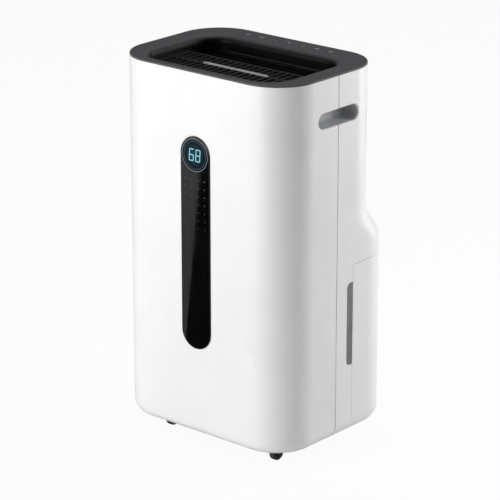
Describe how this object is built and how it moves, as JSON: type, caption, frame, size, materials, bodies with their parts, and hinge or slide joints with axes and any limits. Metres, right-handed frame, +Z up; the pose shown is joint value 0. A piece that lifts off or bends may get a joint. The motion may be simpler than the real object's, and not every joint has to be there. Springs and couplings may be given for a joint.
{
  "type": "dehumidifier",
  "caption": "Upright white dehumidifier with a dished black top outlet, long black display pill, side grips, rear water bucket with level window, and swivelling casters.",
  "frame": {"origin": "on the floor, under the middle of the outline", "axes": "+X to the right seen from the front, +Y to the rear, where the bucket slides out, +Z up"},
  "size_m": [0.33, 0.268, 0.5924],
  "materials": {
    "white_housing": "satin moulded ABS",
    "black_top": "fine textured",
    "outlet_black": "satin",
    "satin_trim": "satin",
    "key_black": "satin",
    "circuit_board": "satin",
    "display_black": "polished",
    "light_guide": "diffuse",
    "grip_grey": "satin",
    "window_grey": "smoked, translucent",
    "tub_grey": "translucent",
    "handle_grey": "satin",
    "float_foam": "foam",
    "filter_net": "fine nylon net",
    "inner_plastic": "satin",
    "fan_plastic": "satin",
    "fin_aluminium": "bare fins",
    "copper_tube": "bright copper",
    "compressor_black": "gloss enamel",
    "motor_steel": "zinc plated",
    "capacitor_aluminium": "drawn can",
    "rubber_black": "matt",
    "screw_steel": "zinc plated",
    "caster_black": "satin",
    "tread_black": "matt"
  },
  "bodies": {
    "cabinet": {"accumulator": "compressor_black", "base_pan": "inner_plastic", "compressor": "compressor_black", "compressor_feet": "rubber_black", "condenser": "fin_aluminium", "cord_gland": "rubber_black", "display_board": "circuit_board", "display_lens": "display_black", "display_ring": "light_guide", "drain_hose": "rubber_black", "drain_spout": "inner_plastic", "drip_tray": "inner_plastic", "evaporator": "fin_aluminium", "fan_motor": "motor_steel", "fan_scroll": "inner_plastic", "filter_drier": "copper_tube", "front_housing": "white_housing", "full_bucket_switch": "inner_plastic", "grip_cup_left": "grip_grey", "grip_cup_right": "grip_grey", "housing_screws": "screw_steel", "key_board": "circuit_board", "level_window": "window_grey", "louver_motor": "motor_steel", "main_board_box": "inner_plastic", "outlet_grille": "outlet_black", "outlet_trim": "satin_trim", "partition": "inner_plastic", "rear_housing": "white_housing", "refrigerant_pipes": "copper_tube", "run_capacitor": "capacitor_aluminium", "top_panel": "black_top"},
    "blower": {"blower_wheel": "fan_plastic", "fan_shaft": "motor_steel"},
    "bucket": {"water_bucket": "tub_grey", "bucket_cover": "white_housing", "bucket_lid": "tub_grey"},
    "handle": {"bucket_handle": "handle_grey"},
    "float": {"bucket_float": "float_foam"},
    "filter": {"intake_frame": "white_housing", "filter_mesh": "filter_net"},
    "louver_1": {"louver_blade_1": "outlet_black"},
    "louver_2": {"louver_blade_2": "outlet_black"},
    "louver_3": {"louver_blade_3": "outlet_black"},
    "link": {"louver_link": "fan_plastic"},
    "key_power": {"key_power": "key_black"},
    "key_mode": {"key_mode": "key_black"},
    "key_humidity_down": {"key_humidity_down": "key_black"},
    "key_humidity_up": {"key_humidity_up": "key_black"},
    "key_fan_speed": {"key_fan_speed": "key_black"},
    "key_timer": {"key_timer": "key_black"},
    "key_swing": {"key_swing": "key_black"},
    "fork_front_left": {"caster_fork_front_left": "caster_black"},
    "wheel_front_left": {"caster_wheel_front_left": "tread_black"},
    "fork_front_right": {"caster_fork_front_right": "caster_black"},
    "wheel_front_right": {"caster_wheel_front_right": "tread_black"},
    "fork_rear_left": {"caster_fork_rear_left": "caster_black"},
    "wheel_rear_left": {"caster_wheel_rear_left": "tread_black"},
    "fork_rear_right": {"caster_fork_rear_right": "caster_black"},
    "wheel_rear_right": {"caster_wheel_rear_right": "tread_black"}
  },
  "joints": [
    {"name": "blower_spin", "type": "hinge", "parent": "cabinet", "child": "blower", "pos_m": [0, -0.049, 0.445], "axis": [0, 1, 0], "continuous": true},
    {"name": "bucket_slide", "type": "slide", "parent": "cabinet", "child": "bucket", "axis": [0, 1, 0], "range_m": [0, 0.15]},
    {"name": "handle_hinge", "type": "hinge", "parent": "bucket", "child": "handle", "pos_m": [0, 0.067, 0.2765], "axis": [-1, 0, 0], "range_deg": [0, 90]},
    {"name": "float_hinge", "type": "hinge", "parent": "bucket", "child": "float", "pos_m": [0.105, 0.0255, 0.246], "axis": [1, 0, 0], "range_deg": [0, 35]},
    {"name": "filter_slide", "type": "slide", "parent": "cabinet", "child": "filter", "axis": [0, 1, 0], "range_m": [0, 0.06]},
    {"name": "louver_tilt_2", "type": "hinge", "parent": "cabinet", "child": "louver_2", "pos_m": [0, 0.02375, 0.5645], "axis": [1, 0, 0], "range_deg": [-35, 35]},
    {"name": "louver_tilt_1", "type": "hinge", "parent": "cabinet", "child": "louver_1", "pos_m": [0, 0.00575, 0.5645], "axis": [1, 0, 0], "range_deg": [-35, 35]},
    {"name": "louver_tilt_3", "type": "hinge", "parent": "cabinet", "child": "louver_3", "pos_m": [0, 0.04175, 0.5645], "axis": [1, 0, 0], "range_deg": [-35, 35]},
    {"name": "link_swing", "type": "hinge", "parent": "louver_2", "child": "link", "pos_m": [-0.1204, 0.02375, 0.5565], "axis": [1, 0, 0], "range_deg": [-35, 35]},
    {"name": "key_power_press", "type": "slide", "parent": "cabinet", "child": "key_power", "axis": [0, 0, -1], "range_m": [0, 0.0008], "stiffness_N_per_m": 500, "springref_m": -0.002},
    {"name": "key_mode_press", "type": "slide", "parent": "cabinet", "child": "key_mode", "axis": [0, 0, -1], "range_m": [0, 0.0008], "stiffness_N_per_m": 500, "springref_m": -0.002},
    {"name": "key_humidity_down_press", "type": "slide", "parent": "cabinet", "child": "key_humidity_down", "axis": [0, 0, -1], "range_m": [0, 0.0008], "stiffness_N_per_m": 500, "springref_m": -0.002},
    {"name": "key_humidity_up_press", "type": "slide", "parent": "cabinet", "child": "key_humidity_up", "axis": [0, 0, -1], "range_m": [0, 0.0008], "stiffness_N_per_m": 500, "springref_m": -0.002},
    {"name": "key_fan_speed_press", "type": "slide", "parent": "cabinet", "child": "key_fan_speed", "axis": [0, 0, -1], "range_m": [0, 0.0008], "stiffness_N_per_m": 500, "springref_m": -0.002},
    {"name": "key_timer_press", "type": "slide", "parent": "cabinet", "child": "key_timer", "axis": [0, 0, -1], "range_m": [0, 0.0008], "stiffness_N_per_m": 500, "springref_m": -0.002},
    {"name": "key_swing_press", "type": "slide", "parent": "cabinet", "child": "key_swing", "axis": [0, 0, -1], "range_m": [0, 0.0008], "stiffness_N_per_m": 500, "springref_m": -0.002},
    {"name": "swivel_front_left", "type": "hinge", "parent": "cabinet", "child": "fork_front_left", "pos_m": [-0.104, -0.08, 0.04], "axis": [0, 0, 1], "continuous": true},
    {"name": "roll_front_left", "type": "hinge", "parent": "fork_front_left", "child": "wheel_front_left", "pos_m": [-0.104, -0.072, 0.012], "axis": [1, 0, 0], "continuous": true},
    {"name": "swivel_front_right", "type": "hinge", "parent": "cabinet", "child": "fork_front_right", "pos_m": [0.104, -0.08, 0.04], "axis": [0, 0, 1], "continuous": true},
    {"name": "roll_front_right", "type": "hinge", "parent": "fork_front_right", "child": "wheel_front_right", "pos_m": [0.104, -0.072, 0.012], "axis": [1, 0, 0], "continuous": true},
    {"name": "swivel_rear_left", "type": "hinge", "parent": "cabinet", "child": "fork_rear_left", "pos_m": [-0.104, 0.068, 0.04], "axis": [0, 0, 1], "continuous": true},
    {"name": "roll_rear_left", "type": "hinge", "parent": "fork_rear_left", "child": "wheel_rear_left", "pos_m": [-0.104, 0.076, 0.012], "axis": [1, 0, 0], "continuous": true},
    {"name": "swivel_rear_right", "type": "hinge", "parent": "cabinet", "child": "fork_rear_right", "pos_m": [0.104, 0.068, 0.04], "axis": [0, 0, 1], "continuous": true},
    {"name": "roll_rear_right", "type": "hinge", "parent": "fork_rear_right", "child": "wheel_rear_right", "pos_m": [0.104, 0.076, 0.012], "axis": [1, 0, 0], "continuous": true}
  ],
  "couplings": [
    {"joint": "louver_tilt_1", "follows": "louver_tilt_2", "ratio": 1},
    {"joint": "louver_tilt_3", "follows": "louver_tilt_2", "ratio": 1},
    {"joint": "link_swing", "follows": "louver_tilt_2", "ratio": -1}
  ]
}
